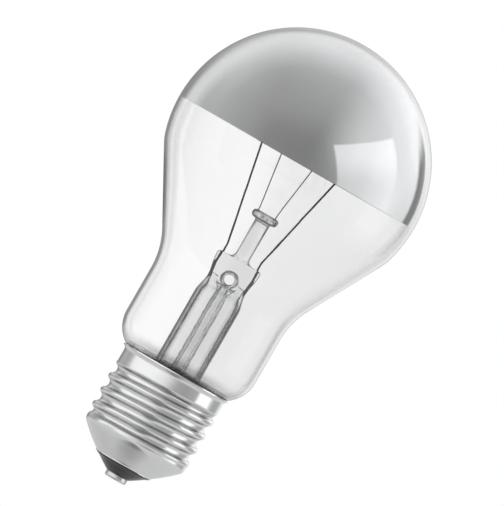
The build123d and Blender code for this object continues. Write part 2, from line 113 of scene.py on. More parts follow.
def skin(rings, closed=False):
    """Points and faces over rings of points, where a ring of one point is a pole."""
    points, starts, faces = [], [], []
    for one in rings:
        starts.append(len(points))
        points.extend(one)
    pairs = list(zip(range(len(rings)), range(1, len(rings))))
    if closed:
        pairs.append((len(rings) - 1, 0))
    for a, b in pairs:
        count_a, count_b = len(rings[a]), len(rings[b])
        count = max(count_a, count_b)
        if count == 1:
            continue
        for i in range(count):
            j = (i + 1) % count
            corners = (starts[a] + i % count_a, starts[a] + j % count_a,
                       starts[b] + j % count_b, starts[b] + i % count_b)
            faces.append(list(dict.fromkeys(corners)))
    return points, faces


def lathe(profile, steps):
    """A closed profile of (radius, height) turned round the axis, without its repeated points."""
    distinct = [p for p, before in zip(profile, profile[-1:] + profile[:-1]) if math.dist(p, before) > 0.02]
    return skin([ring(r, z, steps) for r, z in distinct], closed=True)


def tube(path, radius, sides):
    """A round wire along a path, closed at both ends."""
    path = [Vector(p) for p in path]
    rings = [[tuple(path[0])]]
    side = Vector((0, 0, 1))
    for i, point in enumerate(path):
        along = (path[min(i + 1, len(path) - 1)] - path[max(i - 1, 0)]).normalized()
        side = (side - along * side.dot(along)).normalized()
        other = along.cross(side)
        turns = [2 * math.pi * k / sides for k in range(sides)]
        rings.append([tuple(point + (side * math.cos(t) + other * math.sin(t)) * radius) for t in turns])
    rings.append([tuple(path[-1])])
    return skin(rings)


def make_object(name, shape, sharp=35):
    """A smooth-shaded mesh object from points in millimetres."""
    points, faces = shape
    mesh = bpy.data.meshes.new(name)
    mesh.from_pydata([Vector(p) * MM for p in points], [], faces)
    work = bmesh.new()
    work.from_mesh(mesh)
    bmesh.ops.recalc_face_normals(work, faces=work.faces)
    work.to_mesh(mesh)
    work.free()
    mesh.shade_smooth()
    mesh.set_sharp_from_angle(angle=math.radians(sharp))
    obj = bpy.data.objects.new(name, mesh)
    scene.collection.objects.link(obj)
    return obj


def combine(obj, other, operation):
    """Joins another object to obj, or cuts it out, and removes the other."""
    change = obj.modifiers.new("boolean", "BOOLEAN")
    change.operation = operation
    change.solver = "EXACT"
    change.object = other
    bpy.context.view_layer.update()
    evaluated = obj.evaluated_get(bpy.context.evaluated_depsgraph_get())
    mesh = bpy.data.meshes.new_from_object(evaluated)
    obj.modifiers.clear()
    obj.data = mesh
    bpy.data.objects.remove(other)


def dress(obj, material, slot, *nodes):
    """Gives a piece its material and its body, and hides the CAD nodes it stands for. The slot is not used."""
    obj.data.materials.clear()
    obj.data.materials.append(material)
    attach(obj, "root")
    if nodes:
        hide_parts(*nodes)
    return obj


# Materials

class Nodes:
    """A node tree, with short ways to add nodes and join them."""

    def __init__(self, tree):
        self.tree = tree

    def node(self, kind, *links, **settings):
        """A new node with its settings, and its inputs in order as links, values or None to leave one."""
        made = self.tree.nodes.new(kind)
        for key, value in settings.items():
            setattr(made, key, value)
        for target, source in zip(made.inputs, links):
            if isinstance(source, bpy.types.NodeSocket):
                self.tree.links.new(source, target)
            elif source is not None:
                target.default_value = source
        return made

    def math(self, operation, *links):
        return self.node("ShaderNodeMath", *links, operation=operation).outputs[0]

    def scale(self, value, low, high, to_low, to_high):
        return self.node("ShaderNodeMapRange", value, low, high, to_low, to_high).outputs[0]

    def step(self, value, low, high, to_low=0.0, to_high=1.0):
        """A smooth step from to_low, where the value is low, to to_high, where it is high."""
        made = self.node("ShaderNodeMapRange", value, low, high, to_low, to_high, interpolation_type="SMOOTHSTEP")
        return made.outputs[0]

    def ramp(self, value, *stops):
        """A level by position, from pairs of position and level."""
        made = self.node("ShaderNodeValToRGB", value)
        elements = made.color_ramp.elements
        while len(elements) < len(stops):
            elements.new(0.5)
        for element, (position, level) in zip(elements, stops):
            element.position = position
            element.color = (level, level, level, 1)
        return made.outputs[0]

    def mixed(self, share, first, second):
        """The first level at share 0 and the second at share 1."""
        return self.math("ADD", self.math("MULTIPLY", first, self.math("SUBTRACT", 1.0, share)),
                         self.math("MULTIPLY", second, share))

    def light_path(self):
        """Marks of a ray: 1 until something has reflected it, even past glass; 1 for diffuse light; 1 past glass."""
        path = self.node("ShaderNodeLightPath").outputs
        straight = self.math("LESS_THAN", path["Glossy Depth"], 0.5)
        past_glass = self.math("GREATER_THAN", path["Transmission Depth"], 0.5)
        return straight, path["Is Diffuse Ray"], past_glass


class Paint(Nodes):
    """A procedural material on the Principled shader."""

    def __init__(self, name, **settings):
        self.material = bpy.data.materials.new(name)
        self.material.use_nodes = True
        super().__init__(self.material.node_tree)
        self.shader = self.tree.nodes["Principled BSDF"]
        self.output = self.tree.nodes["Material Output"]
        self.place = self.node("ShaderNodeTexCoord").outputs["Object"]
        for socket, value in settings.items():
            self.shader.inputs[socket.replace("_", " ")].default_value = value

    def noise(self, scale, detail=2.0, stretch=(1, 1, 1), roughness=0.5):
        """Noise with features 1/scale across, in millimetres, stretched along the axes."""
        place = self.node("ShaderNodeMapping", self.place)
        place.inputs["Scale"].default_value = [s * 1000 * scale for s in stretch]
        made = self.node("ShaderNodeTexNoise", place.outputs[0])
        made.inputs["Scale"].default_value = 1.0
        made.inputs["Detail"].default_value = detail
        made.inputs["Roughness"].default_value = roughness
        return made.outputs["Fac"]

    def blend(self, factor, first, second):
        """The first colour at factor 0 and the second at factor 1."""
        made = self.node("ShaderNodeMix", data_type="RGBA")
        self.tree.links.new(factor, made.inputs["Factor"])
        for socket, value in (("A", first), ("B", second)):
            target = [i for i in made.inputs if i.name == socket and i.type == "RGBA"][0]
            if isinstance(value, bpy.types.NodeSocket):
                self.tree.links.new(value, target)
            else:
                target.default_value = (*value, 1)
        return [o for o in made.outputs if o.type == "RGBA"][0]

    def set(self, socket, value):
        self.tree.links.new(value, self.shader.inputs[socket])

    def bump(self, height, strength, distance):
        """Relief from a height of 0 to 1, with the distance in millimetres."""
        made = self.node("ShaderNodeBump")
        made.inputs["Strength"].default_value = strength
        made.inputs["Distance"].default_value = distance * MM
        self.tree.links.new(height, made.inputs["Height"])
        self.set("Normal", made.outputs[0])

    def absorb(self, color, density):
        """Glass that darkens with its thickness, with the density per metre."""
        made = self.node("ShaderNodeVolumeAbsorption")
        made.inputs["Color"].default_value = (*color, 1)
        made.inputs["Density"].default_value = density
        self.tree.links.new(made.outputs[0], self.output.inputs["Volume"])

    def radius_and_height(self):
        """The distance from the axis and the height, in millimetres."""
        x, y, z = self.node("ShaderNodeSeparateXYZ", self.place).outputs
        square = self.math("ADD", self.math("MULTIPLY", x, x), self.math("MULTIPLY", y, y))
        return self.math("MULTIPLY", self.math("SQRT", square), 1000.0), self.math("MULTIPLY", z, 1000.0)


def clear_glass():
    """Blown glass, a little uneven, with painted shade towards +X, at its outline and just above the cap."""
    paint = Paint("clear_glass", Transmission_Weight=1.0, IOR=1.5)
    facing = paint.node("ShaderNodeLayerWeight", 0.5).outputs["Facing"]
    x, _, z = paint.node("ShaderNodeSeparateXYZ", paint.place).outputs
    # Painted shade: the glass is a little darker towards +X.
    side = paint.step(x, -9 * MM, 9 * MM)
    streak = paint.scale(paint.noise(0.05, 3.0, (1, 1, 0.35)), 0.3, 0.7, -0.4, 0.4)
    tone = paint.blend(paint.math("ADD", side, streak), (1.0, 1.0, 1.0), (0.935, 0.936, 0.937))
    # Painted shade: a grey band just above the cap, strongest head-on, for the dark cap's reflection and shadow in
    # the neck.
    painted_shade_above_cap = paint.step(z, 31.5 * MM, 28.2 * MM)
    low = paint.math("MULTIPLY", painted_shade_above_cap, paint.scale(facing, 0.1, 0.5, 0.8, 0.0))
    tone = paint.blend(low, tone, (0.3, 0.3, 0.3))
    # Painted shade: a grey outline where the glass turns away from the view.
    edge = paint.math("POWER", facing, 14.0)
    paint.set("Base Color", paint.blend(edge, tone, (0.6, 0.602, 0.605)))
    smudge = paint.noise(0.12, 5.0)
    paint.set("Roughness", paint.scale(smudge, 0.5, 0.8, 0.0, 0.03))
    paint.bump(paint.noise(0.045, 2.0, (1, 1, 0.5)), 0.10, 0.2)
    return paint.material


def stem_glass():
    """Drawn glass with painted dark outlines, and darker, mottled glass in the button and in a ring round the
    exhaust hole.
    """
    paint = Paint("stem_glass", Transmission_Weight=1.0, IOR=1.56)
    facing = paint.node("ShaderNodeLayerWeight", 0.5).outputs["Facing"]
    # Painted shade: a near-black outline where the glass turns away from the view.
    edge = paint.scale(facing, 0.28, 0.62, 0.0, 1.0)
    draw = paint.noise(0.9, 3.0, (1, 1, 0.06))
    tone = paint.blend(draw, (0.95, 0.953, 0.957), (0.995, 0.996, 0.997))
    x, _, z = paint.node("ShaderNodeSeparateXYZ", paint.place).outputs
    # Darker, mottled glass in the button and in a ring round the exhaust hole.
    up = paint.math("SUBTRACT", z, HOLE_Z * MM)
    reach = paint.math("SQRT", paint.math("ADD", paint.math("MULTIPLY", x, x), paint.math("MULTIPLY", up, up)))
    off_ring = paint.math("ABSOLUTE", paint.math("SUBTRACT", reach, HOLE_BEAD_R * MM))
    bead = paint.scale(off_ring, 0.25 * MM, 0.6 * MM, 1.0, 0.0)
    button = paint.scale(z, (BUTTON_Z - 0.4) * MM, (BUTTON_Z + 0.1) * MM, 0.0, 1.0)
    mottle = paint.scale(paint.noise(1.1, 3.0), 0.38, 0.62, 0.0, 1.0)
    dark_patches = paint.math("MULTIPLY", paint.math("MAXIMUM", bead, button), mottle)
    tone = paint.blend(dark_patches, tone, (0.22, 0.22, 0.23))
    paint.set("Base Color", paint.blend(edge, tone, (0.02, 0.02, 0.022)))
    paint.set("Roughness", paint.scale(paint.noise(0.5, 4.0), 0.45, 0.8, 0.0, 0.04))
    paint.bump(paint.noise(0.6, 3.0, (1, 1, 0.25)), 0.3, 0.15)
    paint.absorb((0.3, 0.3, 0.31), 35)
    return paint.material


def mirror_layer():
    """A bright metal film, a little clouded and uneven."""
    paint = Paint("mirror_layer", Metallic=1.0)
    cloud = paint.noise(0.07, 4.0)
    paint.set("Base Color", paint.blend(cloud, (0.86, 0.87, 0.88), (0.95, 0.955, 0.96)))
    paint.set("Roughness", paint.scale(paint.noise(0.35, 5.0), 0.4, 0.8, 0.015, 0.06))
    paint.bump(paint.noise(0.04, 2.0), 0.08, 0.25)
    return paint.material


def aluminium():
    """Rolled sheet, bright on crests, roots and collar, with dull, dark lines of painted shade along the thread's
    flanks.
    """
    paint = Paint("aluminium_sheet", Metallic=1.0)
    radius, height = paint.radius_and_height()
    rolled = paint.noise(1.0, 3.0, (0.06, 0.06, 3.0), 0.5)
    blotch = paint.noise(0.3, 4.0)
    low_side = paint.scale(radius, 12.1, 12.4, 0.0, 1.0)
    high_side = paint.scale(radius, 12.95, 12.65, 0.0, 1.0)
    in_thread = paint.math("MULTIPLY", paint.scale(height, THREAD_LOW, THREAD_LOW + 1.2, 0.0, 1.0),
                           paint.scale(height, THREAD_HIGH, THREAD_HIGH - 1.2, 0.0, 1.0))
    # Painted shade: the thread's flanks, between crest and root, get dark grey for the shade and reflections the
    # thread casts on itself.
    flank = paint.math("MULTIPLY", paint.math("MULTIPLY", low_side, high_side), in_thread)
    tone = paint.blend(blotch, (0.84, 0.845, 0.85), (0.93, 0.933, 0.937))
    stain_and_painted_shade = paint.blend(blotch, (0.30, 0.30, 0.30), (0.55, 0.55, 0.555))
    paint.set("Base Color", paint.blend(flank, tone, stain_and_painted_shade))
    rough = paint.scale(rolled, 0.3, 0.75, 0.07, 0.14)
    paint.set("Roughness", paint.math("ADD", rough, paint.math("MULTIPLY", flank, 0.1)))
    paint.bump(paint.math("ADD", paint.math("MULTIPLY", rolled, 0.4), blotch), 0.15, 0.05)
    return paint.material


def black_glass():
    """Pressed black glass, glossy with dull patches."""
    paint = Paint("black_glass", IOR=1.52)
    cloud = paint.noise(0.5, 3.0)
    paint.set("Base Color", paint.blend(cloud, (0.006, 0.006, 0.007), (0.018, 0.018, 0.020)))
    paint.set("Roughness", paint.scale(paint.noise(1.6, 4.0), 0.4, 0.8, 0.04, 0.16))
    paint.bump(paint.noise(0.5, 2.0), 0.3, 0.12)
    return paint.material


def contact_plate():
    """Tinned metal, with turned lines round the axis."""
    paint = Paint("contact_plate", Metallic=1.0)
    turned = paint.node("ShaderNodeTexNoise", noise_dimensions="1D")
    radius, _ = paint.radius_and_height()
    paint.tree.links.new(paint.math("MULTIPLY", radius, 14.0), turned.inputs["W"])
    turned.inputs["Scale"].default_value = 1.0
    spots = paint.noise(1.2, 4.0)
    paint.set("Base Color", paint.blend(spots, (0.66, 0.66, 0.63), (0.82, 0.82, 0.80)))
    paint.set("Roughness", paint.scale(turned.outputs["Fac"], 0.3, 0.7, 0.16, 0.34))
    paint.bump(turned.outputs["Fac"], 0.3, 0.03)
    return paint.material


def solder():
    """Dull, lumpy solder."""
    paint = Paint("solder", Metallic=1.0)
    lumps = paint.noise(1.3, 3.0)
    paint.set("Base Color", paint.blend(lumps, (0.55, 0.56, 0.57), (0.80, 0.81, 0.82)))
    paint.set("Roughness", paint.scale(paint.noise(3.5, 4.0), 0.35, 0.7, 0.18, 0.45))
    paint.bump(lumps, 0.6, 0.2)
    return paint.material


def cement():
    """Grainy, matt cement."""
    paint = Paint("cement", Roughness=0.95)
    grain = paint.noise(3.0, 6.0, roughness=0.7)
    paint.set("Base Color", paint.blend(grain, (0.36, 0.33, 0.28), (0.66, 0.62, 0.54)))
    paint.bump(grain, 0.7, 0.15)
    return paint.material


def wire(name, dark, light, rough):
    """Drawn wire, with die lines along it and a stained, slightly uneven surface."""
    paint = Paint(name, Metallic=1.0)
    stain_and_painted_shade = paint.noise(0.7, 4.0)
    lines = paint.noise(12.0, 2.0, (1, 1, 0.03))
    paint.set("Base Color", paint.blend(stain_and_painted_shade, dark, light))
    paint.set("Roughness", paint.scale(lines, 0.3, 0.7, rough - 0.08, rough + 0.1))
    paint.bump(lines, 0.25, 0.01)
    return paint.material


materials = {
    "clear_glass": clear_glass(),
    "stem_glass": stem_glass(),
    "mirror_layer": mirror_layer(),
    "aluminium_sheet": aluminium(),
    "black_glass": black_glass(),
    "contact_plate": contact_plate(),
    "solder": solder(),
    "cement": cement(),
    "molybdenum_wire": wire("molybdenum_wire", (0.22, 0.22, 0.23), (0.36, 0.36, 0.37), 0.3),
    "tungsten": wire("tungsten", (0.16, 0.16, 0.17), (0.30, 0.30, 0.31), 0.38),
    "nickel_wire": wire("nickel_wire", (0.030, 0.029, 0.029), (0.085, 0.083, 0.082), 0.34),
    "copper_clad_wire": wire("copper_clad_wire", (0.06, 0.055, 0.052), (0.15, 0.135, 0.125), 0.34),
    "copper_wire": wire("copper_wire", (0.20, 0.17, 0.15), (0.42, 0.36, 0.32), 0.3),
}


# Envelope and mirror

def envelope_line(inset, steps):
    """The envelope's outline from the crown down to the seal, inset from its outer face."""
    line = arc(0, EQUATOR, GLOBE_R - inset, 90, -90 - GLOBE_DIP, 3 * steps)
    line += arc(BLEND_R, BLEND_Z, BLEND - inset, -GLOBE_DIP, GLOBE_DIP - CONE, steps // 2)
    line += arc(NECK_R + WAIST, NECK_TOP, WAIST + inset, 180 - CONE, CONE, steps)
    line += arc(SHOULDER_R, SHOULDER_Z, SHOULDER - inset, 0, -FOOT_TURN, steps)
    line += arc(CAP_NECK_R + FOOT, FOOT_Z, FOOT + inset, 180 - FOOT_TURN, FOOT_TURN, steps // 2)
    line.append((CAP_NECK_R - inset, SEAL_Z))
    line[0] = (0, line[0][1])
    return line


def glass_envelope():
    profile = envelope_line(0, 24) + envelope_line(GLASS, 24)[::-1]
    return make_object("envelope", lathe(profile, 192), 60)


def crown_mirror():
    """The metal layer, inside the glass from the crown down to the equator."""
    face_r = GLOBE_R - GLASS - MIRROR_GAP
    outside = arc(0, EQUATOR, face_r, 0, 90, 72)
    inside = arc(0, EQUATOR, face_r - MIRROR, 0, 90, 72)
    outside[-1] = (0, outside[-1][1])
    inside[-1] = (0, inside[-1][1])
    return make_object("mirror", lathe(outside + inside[::-1], 192), 60)


dress(glass_envelope(), materials["clear_glass"], "clear_glass", "glass_envelope")
dress(crown_mirror(), materials["mirror_layer"], "mirror_layer", "crown_mirror")


# Stem: flare, tube, press, exhaust tube and rod as one glass

def rod_rings(steps):
    """The lumpy button, the rod and its foot on the press, from the top down."""
    turns = [2 * math.pi * i / steps for i in range(steps)]
    rings = [[(0, 0, BUTTON_TOP - 0.12)]]
    button = [(1.0, BUTTON_TOP - 0.1), (1.8, BUTTON_TOP - 0.02)]
    button += arc(BUTTON_R, BUTTON_TOP - BUTTON_BEND, BUTTON_BEND, 90, -90, 6)
    button += arc(BUTTON_R, BUTTON_Z + BUTTON_BEND, BUTTON_BEND, 0, -90, 6)
    button += [(2.15, BUTTON_Z - 0.02), (1.93, BUTTON_Z - 0.18), (1.82, BUTTON_Z - 0.5)]
    for r, z in button:
        lumps = [1 + 0.03 * math.sin(5 * a + 0.7) + 0.02 * math.sin(11 * a + 2.1 * z) for a in turns]
        rings.append([(x * k, y * k, h) for (x, y, h), k in zip(ring(r, z, steps), lumps)])
    rings += [ring(ROD_R, z, steps) for z in (64, 62, 60)]
    for half_width, depth, rise in ((1.8, 1.8, 1.5), (1.86, 1.81, 1.0), (2.05, 1.84, 0.55),
                                    (2.45, 1.86, 0.2), (3.1, 1.86, 0.05), (3.9, 1.84, 0)):
        squareness = mix(2, PRESS_SQUARENESS, ease((half_width - ROD_R) / 2.1))
        rings.append(flat_ring(half_width, depth, squareness, PRESS_TOP + rise, steps))
    return rings


def press_rings(steps):
    """The press with its rounded top edge, down to where it is the round tube again."""
    rings = []
    top_z = PRESS_TOP - PRESS_EDGE
    for share in (1.0, 0.85, 0.6, 0.3, 0.0):
        inset = PRESS_EDGE * (1 - math.sqrt(1 - share ** 2))
        depth = PRESS_DEPTH - 0.25 * inset
        rings.append(flat_ring(PRESS_R - inset, depth, PRESS_SQUARENESS, mix(top_z, PRESS_TOP, share), steps))
    for share in (0.8, 0.6, 0.4, 0.2, 0.0):
        half_width = mix(PRESS_FOOT_R, PRESS_R, ease(share))
        rings.append(flat_ring(half_width, PRESS_DEPTH, PRESS_SQUARENESS, mix(PRESS_Z, top_z, share), steps))
    for i in range(9, 0, -1):
        eased = ease(i / 10)
        half_width, depth = mix(TUBE_R, PRESS_FOOT_R, eased), mix(TUBE_R, PRESS_DEPTH, eased)
        squareness = mix(2, PRESS_SQUARENESS, eased)
        rings.append(flat_ring(half_width, depth, squareness, mix(PINCH_Z, PRESS_Z, i / 10), steps))
    return rings


def tube_rings(steps):
    """The tube's outside, the flare, the seal and the inside, up to the lumpy lobe where the pinch closes it."""
    seal_r = CAP_NECK_R - GLASS - SEAL_GAP
    middle = (42, 37, 32)
    rings = [ring(TUBE_R, z, steps) for z in (PINCH_Z, *middle)]
    rings += [ring(r, z, steps) for r, z in arc(FLARE_R, FLARE_Z, FLARE_BEND, 180, FLARE_TURN, 10)]
    rings += [ring(seal_r, z, steps) for z in (SEAL_TOP, SEAL_Z)]
    inner_flare = arc(FLARE_R, FLARE_Z, FLARE_BEND + TUBE_WALL, 180 + FLARE_TURN, -FLARE_TURN, 10)
    rings += [ring(r, z, steps) for r, z in inner_flare]
    rings += [ring(BORE_R, z, steps) for z in (*middle[::-1], PINCH_Z)]
    for i in range(1, 9):
        eased = ease(i / 8)
        half_width, depth = mix(BORE_R, LOBE_R, eased), mix(BORE_R, LOBE_DEPTH, eased)
        squareness = mix(2, LOBE_SQUARENESS, eased)
        rings.append(flat_ring(half_width, depth, squareness, mix(PINCH_Z, LOBE_Z, i / 8), steps))
    for half_width, depth, rise, lump in ((3.75, 0.42, 0.3, 0.15), (3.2, 0.32, 0.5, 0.3), (2.2, 0.2, 0.1, 0.2)):
        flat = flat_ring(half_width, depth, 2.5, LOBE_Z + rise, steps)
        rings.append([(x, y, z + lump * math.sin(3.1 * x + 0.8)) for x, y, z in flat])
    rings.append([(0, 0, LOBE_Z - 0.2)])
    return rings


def web_rings(steps):
    """The lumpy glass that joins the exhaust tube to the press, a little off the other pieces' faces."""
    rings = [[(0, 0, 48.6)]]
    for half_width, depth, z, lump in ((1.4, 1.4, 48.7, 0), (1.75, 1.7, 49.1, 0.2), (2.0, 1.8, 49.7, 0.25),
                                       (2.35, 1.85, 50.4, 0.2), (2.5, 1.88, 51.4, 0.1), (2.4, 1.85, 52.6, 0)):
        flat = flat_ring(half_width, depth, 2.4, z, steps)
        rings.append([(x + 0.013, y + 0.007, h + lump * math.sin(2.7 * x + 1.1 * y + 0.4)) for x, y, h in flat])
    rings.append([(0, 0, 52.7)])
    return rings


def upright(profile, top, foot, steps):
    """Rings for a shape turned round the lamp's axis, closed at its top and its foot."""
    return [[(0, 0, top)]] + [ring(r, z, steps) for r, z in profile] + [[(0, 0, foot)]]


def across(half_profile, steps):
    """Rings for a shape turned round the exhaust hole's axis, along Y, the same on both faces of the press."""
    whole = [(r, -y) for r, y in half_profile[::-1]] + list(half_profile[1:])
    rings = [[(0, whole[0][1], HOLE_Z)]]
    for r, y in whole:
        rings.append([(x + 0.004, y, HOLE_Z + z + steps * 1e-4) for x, z, _ in ring(r, 0, steps)])
    rings.append([(0, whole[-1][1], HOLE_Z)])
    return rings


def stem():
    """The whole stem. Each shape has its own number of sides, which keeps the exact booleans clean."""
    sides = 96
    exhaust = [(EXHAUST_R, PRESS_Z + 1), (EXHAUST_R, 40), (EXHAUST_R, 28), (EXHAUST_R, 17.0),
               (1.58, 16.2), (1.35, 15.3), (0.9, 14.5), (0.4, 14.1)]
    lip = [(2.1, 0), (2.11, 1.9), (2.05, 2.13), (1.9, 2.25), (1.7, 2.3), (1.5, 2.28)]
    hole = [(HOLE_R, 0), (HOLE_R, 1.7), (1.24, 1.9), (1.34, 2.1), (1.5, 2.25), (1.7, 2.31), (1.8, 2.6)]
    bore = [(EXHAUST_BORE_R, HOLE_Z + 0.1), (EXHAUST_BORE_R, 40), (EXHAUST_BORE_R, 28), (EXHAUST_BORE_R, 17.2),
            (0.7, 16.7), (0.4, 16.3)]
    body = make_object("stem", skin(rod_rings(sides) + press_rings(sides) + tube_rings(sides)))
    for name, rings, operation in (
        ("exhaust", upright(exhaust, PRESS_Z + 1, 14.0, 48), "UNION"),
        ("web", web_rings(60), "UNION"),
        ("eyelet", across(lip, 46), "UNION"),
        ("hole", across(hole, 52), "DIFFERENCE"),
        ("bore", upright(bore, HOLE_Z + 0.1, 16.1, 34), "DIFFERENCE"),
    ):
        combine(body, make_object(name, skin(rings)), operation)
    body.data.shade_smooth()
    body.data.set_sharp_from_angle(angle=math.radians(50))
    return body


dress(stem(), materials["stem_glass"], "stem_glass", "stem_flare", "exhaust_tube", "arbor_rod")


# Filament

def coil():
    """The coiled wire, with a straight leg to the hook at each end."""
    per_turn, ends = 16, 10
    path = [(-COIL_END, 0, 0), (-COIL_END + LEG, 0, 0), (-COIL_REACH - LEG_BEND, 0, 0)]
    count = COIL_TURNS * per_turn
    for i in range(count + 1):
        share = i / count
        angle = 2 * math.pi * COIL_TURNS * share
        radius = COIL_R * ease(min(i, count - i) / ends)
        path.append((mix(-COIL_REACH, COIL_REACH, share), radius * math.cos(angle), radius * math.sin(angle)))
    path += [(COIL_REACH + LEG_BEND, 0, 0), (COIL_END - LEG, 0, 0), (COIL_END, 0, 0)]
    path = [(COIL_X + x, COIL_Y + y, COIL_Z + z) for x, y, z in path]
    return make_object("coil", tube(path, WIRE_R, 8), 60)


dress(coil(), materials["tungsten"], "tungsten", "filament")


# Cap

def thread_wave(turn, inset):
    """The thread's radius at a share of the pitch from a crest: two arcs per pitch."""
    flank = 2 * math.acos(PITCH / math.sqrt(PITCH**2 + 4 * THREAD_DEPTH**2))
    crest = CREST_SHARE * PITCH / (2 * math.sin(flank))
    root = (1 - CREST_SHARE) * PITCH / (2 * math.sin(flank))
    off_crest = abs((turn + 0.5) % 1 - 0.5) * PITCH
    if off_crest < (crest - inset) * math.sin(flank):
        return CREST_R - crest + math.sqrt((crest - inset) ** 2 - off_crest**2)
    return ROOT_R + root - math.sqrt((root + inset) ** 2 - (PITCH / 2 - off_crest) ** 2)


def thread_radius(angle, z, inset):
    """The threaded sheet's radius, with the thread run out into the dome and the collar."""
    radius = thread_wave((z - THREAD_LOW - PHASE) / PITCH - angle / 360, inset)
    radius = mix(DOME_R - inset, radius, ease((z - THREAD_LOW) / RUNOUT))
    return mix(COLLAR_R - inset, radius, ease((THREAD_HIGH - z) / RUNOUT))


def shell_line(angle, inset):
    """One side of the sheet from the lip to the rim, at an angle round the axis."""
    line = [(LIP_R - inset, LIP_Z)]
    line += arc(LIP_R + LIP_BEND, LIP_Z + LIP_HEIGHT, LIP_BEND + inset, 180, -DOME_TURN, 5)
    brow = arc(DOME_R - DOME_SHOULDER, THREAD_LOW, DOME_SHOULDER - inset, -DOME_TURN, DOME_TURN, 8)[:-1]
    foot_r, foot_z = line[5]
    brow_r, brow_z = brow[0]
    out, down = 0.643, 0.766
    for share in [i / 8 for i in range(1, 8)]:
        fullness = DOME_FULLNESS * 4 * share * (1 - share)
        line.append((mix(foot_r, brow_r, share) + out * fullness, mix(foot_z, brow_z, share) - down * fullness))
    line += brow
    heights = [mix(THREAD_LOW, THREAD_HIGH, i / 110) for i in range(111)]
    line += [(thread_radius(angle, z, inset), z) for z in heights]
    line += [(COLLAR_R - inset, mix(THREAD_HIGH, COLLAR_TOP, i / 3)) for i in (1, 2)]
    line += arc(COLLAR_R + RIM_BEND, COLLAR_TOP, RIM_BEND + inset, 180, -RIM_ANGLE, 6)
    return line


def cap():
    """The rolled sheet, with small waves that die out towards the lip and the rim."""
    steps = 240
    angles = [360 * i / steps for i in range(steps)]
    columns = [shell_line(angle, 0) + shell_line(angle, SHEET)[::-1] for angle in angles]
    rings = []
    for row in range(len(columns[0])):
        points = []
        for i, column in enumerate(columns):
            turn = 2 * math.pi * i / steps
            r, z = column[row]
            wave = 0.016 * math.sin(5 * turn + 1.7 * z) + 0.012 * math.sin(11 * turn - 2.3 * z)
            r += wave * ease((z - LIP_Z) / 4) * ease((COLLAR_TOP - z) / 3)
            points.append((r * math.cos(turn), r * math.sin(turn), z))
        rings.append(points)
    return make_object("cap", skin(rings, closed=True), 50)


dress(cap(), materials["aluminium_sheet"], "aluminium_sheet", "cap_shell")


def insulator():
    """Black glass, bulging a little between the lip and the contact."""
    low = [(6.83, 4.1), (6.83, 3.98)] + arc(6.58, 3.88, 0.25, 0, -50, 4)
    low += [(6.0, 3.36), (5.2, 2.82), (4.3, 2.22), (3.5, 1.7), (3.0, 1.39), (2.8, 1.28), (1.3, 1.28)]
    high = [(1.3, 2.4), (0.5, 2.4), (0.5, 6.8), (10.0, 6.8), (7.3, 4.5)]
    return make_object("insulator_glass", lathe(low + high, 96), 40)


dress(insulator(), materials["black_glass"], "black_glass", "insulator")


def contact():
    """The contact plate with its rolled edge, a shallow ring groove and the eyelet."""
    line = [(0.8, 2.4), (0.8, 0.06), (0.86, 0.01), (1.0, 0.0), (1.7, 0.0), (1.78, 0.04), (1.86, 0.0)]
    line += arc(2.3, 0.4, 0.4, -90, 90, 6) + [(2.7, 1.2), (2.62, 1.3), (1.3, 1.3), (1.3, 2.4)]
    return make_object("contact", lathe(line, 96), 40)


dress(contact(), materials["contact_plate"], "contact_plate", "centre_contact")


def bead():
    """The solder bead on the collar, as a lumpy drop."""
    rings = []
    for share, height in ((1.0, -0.06), (0.97, 0.08), (0.86, 0.24), (0.68, 0.37), (0.45, 0.45), (0.2, 0.49)):
        points = []
        for i in range(48):
            turn = 2 * math.pi * i / 48
            lump = 1 + 0.05 * math.sin(3 * turn + 0.5) + 0.03 * math.sin(7 * turn)
            r = BEAD_R * share * lump
            x, z = r * math.cos(turn), r * math.sin(turn)
            y = math.sqrt(COLLAR_R**2 - x**2) + height
            points.append((x, y, BEAD_Z + z))
        rings.append(points)
    rings = [[(0, COLLAR_R - 0.3, BEAD_Z)]] + rings + [[(0, COLLAR_R + 0.5, BEAD_Z)]]
    return make_object("solder_bead", skin(rings), 60)


dress(bead(), materials["solder"], "solder", "side_solder")

# CAD nodes that stay, each with its own material
for node, slot in (
    ("support_wire_left", "molybdenum_wire"),
    ("support_wire_right", "molybdenum_wire"),
    ("inner_lead_left", "nickel_wire"),
    ("inner_lead_right", "nickel_wire"),
    ("seal_wire_left", "copper_clad_wire"),
    ("seal_wire_right", "copper_clad_wire"),
    ("outer_lead_side", "copper_wire"),
    ("outer_lead_centre", "copper_wire"),
    ("contact_solder", "solder"),
    ("basing_cement", "cement"),
):
    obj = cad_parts[node]
    obj.data.materials.clear()
    obj.data.materials.append(materials[slot])
    obj.data.shade_smooth()
    obj.data.set_sharp_from_angle(angle=math.radians(40))


# Floor, light and camera

class Studio(Nodes):
    """The world: white behind the object, and rooms with windows in its reflections, by a ray's direction."""

    def __init__(self):
        world = bpy.data.worlds.new("studio")
        world.use_nodes = True
        world.cycles.sampling_method = "NONE"
        scene.world = world
        super().__init__(world.node_tree)
        self.background = self.tree.nodes["Background"]
        direction = self.node("ShaderNodeTexCoord").outputs["Generated"]
        self.x, self.y, self.z = self.node("ShaderNodeSeparateXYZ", direction).outputs


